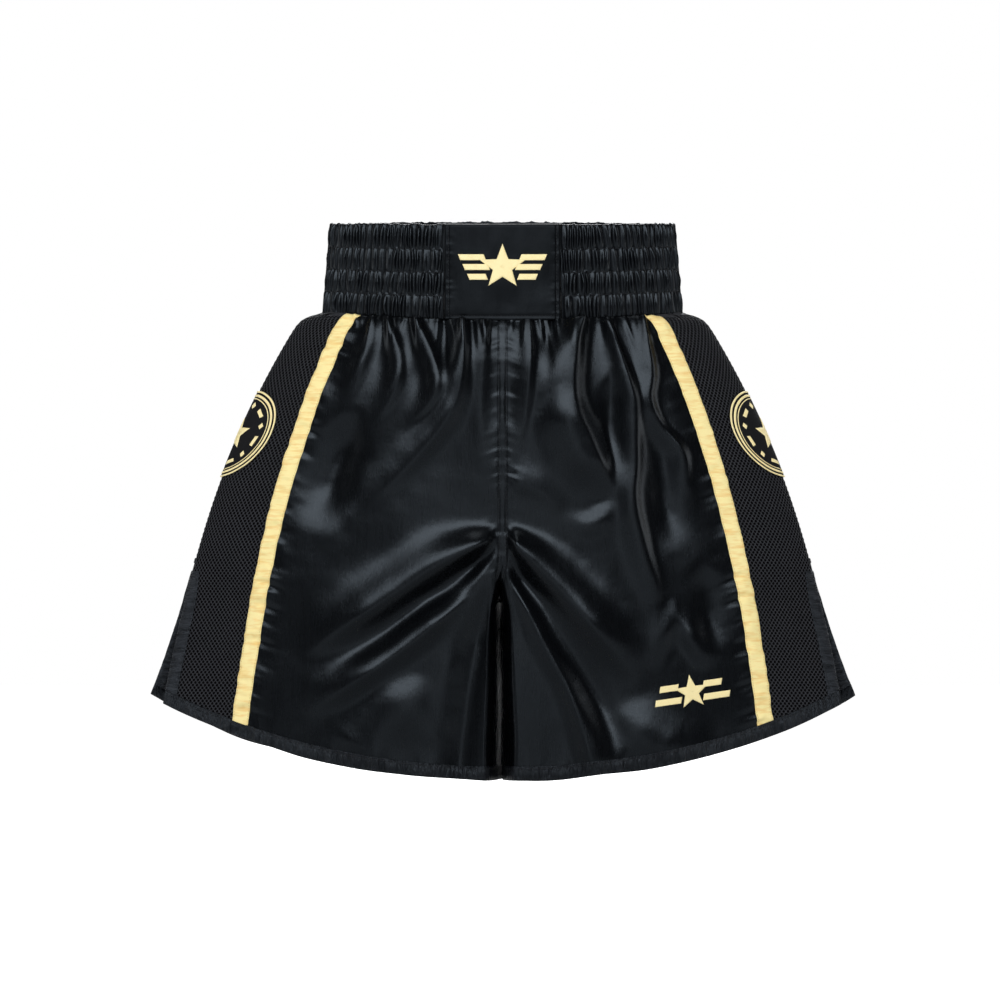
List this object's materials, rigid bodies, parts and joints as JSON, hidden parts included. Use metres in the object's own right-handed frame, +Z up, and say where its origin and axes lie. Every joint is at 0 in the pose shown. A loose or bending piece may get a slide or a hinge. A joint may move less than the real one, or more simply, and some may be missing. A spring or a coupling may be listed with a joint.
{
  "type": "boxing shorts",
  "caption": "Loose satin boxing shorts with a deep shirred elastic waistband, mesh side panels, gold side ribbons, round side badges and slit hems, held open at the waist.",
  "frame": {"origin": "centre of the waist opening, level with the rim of the waistband", "axes": "+X to the wearer's left, -Y to the front of the wearer, +Z up"},
  "size_m": [0.7044, 0.1808, 0.553],
  "materials": {
    "satin": "dark blue-black polyester satin",
    "mesh": "black warp-knit mesh with oval holes",
    "gold_ribbon": "pale gold satin ribbon",
    "gold_thread": "gold embroidery thread",
    "badge": "black twill badge cloth",
    "elastic": "braided elastic",
    "lining": "matt black lining cloth",
    "label": "blank white woven label"
  },
  "bodies": {
    "shorts": {"waistband_center_panel": "satin", "waistband_front_left": "satin", "waistband_front_right": "satin", "waistband_back": "satin", "elastic_row_1": "elastic", "elastic_row_2": "elastic", "elastic_row_3": "elastic", "elastic_row_4": "elastic", "waistband_lining_front": "lining", "waistband_lining_back": "lining", "size_label": "label", "front_satin_left": "satin", "mesh_front_left": "mesh", "ribbon_front_left": "gold_ribbon", "hem_front_left": "satin", "front_satin_right": "satin", "mesh_front_right": "mesh", "ribbon_front_right": "gold_ribbon", "hem_front_right": "satin", "back_satin_left": "satin", "mesh_back_left": "mesh", "ribbon_back_left": "gold_ribbon", "hem_back_left": "satin", "back_satin_right": "satin", "mesh_back_right": "mesh", "ribbon_back_right": "gold_ribbon", "hem_back_right": "satin", "center_front_seam": "satin", "center_back_seam": "satin", "inseam_left": "satin", "inseam_right": "satin", "side_badge_left": "badge", "side_badge_right": "badge", "bar_tack_left": "satin", "bar_tack_right": "satin", "waist_emblem": "gold_thread", "leg_emblem": "gold_thread"},
    "front_tail_left": {"vent_facing_front_left": "satin", "mesh_tail_front_left": "mesh", "hem_tail_front_left": "satin"},
    "front_tail_right": {"vent_facing_front_right": "satin", "mesh_tail_front_right": "mesh", "hem_tail_front_right": "satin"},
    "back_tail_left": {"vent_facing_back_left": "satin", "mesh_tail_back_left": "mesh", "hem_tail_back_left": "satin"},
    "back_tail_right": {"vent_facing_back_right": "satin", "mesh_tail_back_right": "mesh", "hem_tail_back_right": "satin"}
  },
  "joints": [
    {"name": "front_tail_left_swing", "type": "hinge", "parent": "shorts", "child": "front_tail_left", "pos_m": [0.31171, -0.00248, -0.339], "axis": [-0.1891, -0.2634, -0.946], "range_deg": [0, 40]},
    {"name": "front_tail_right_swing", "type": "hinge", "parent": "shorts", "child": "front_tail_right", "pos_m": [-0.31171, -0.00248, -0.339], "axis": [-0.1891, 0.2634, 0.946], "range_deg": [0, 40]},
    {"name": "back_tail_left_swing", "type": "hinge", "parent": "shorts", "child": "back_tail_left", "pos_m": [0.31227, 0.00138, -0.339], "axis": [0.0876, -0.2721, 0.9583], "range_deg": [0, 40]},
    {"name": "back_tail_right_swing", "type": "hinge", "parent": "shorts", "child": "back_tail_right", "pos_m": [-0.31227, 0.00138, -0.339], "axis": [0.0876, 0.2721, -0.9583], "range_deg": [0, 40]}
  ]
}
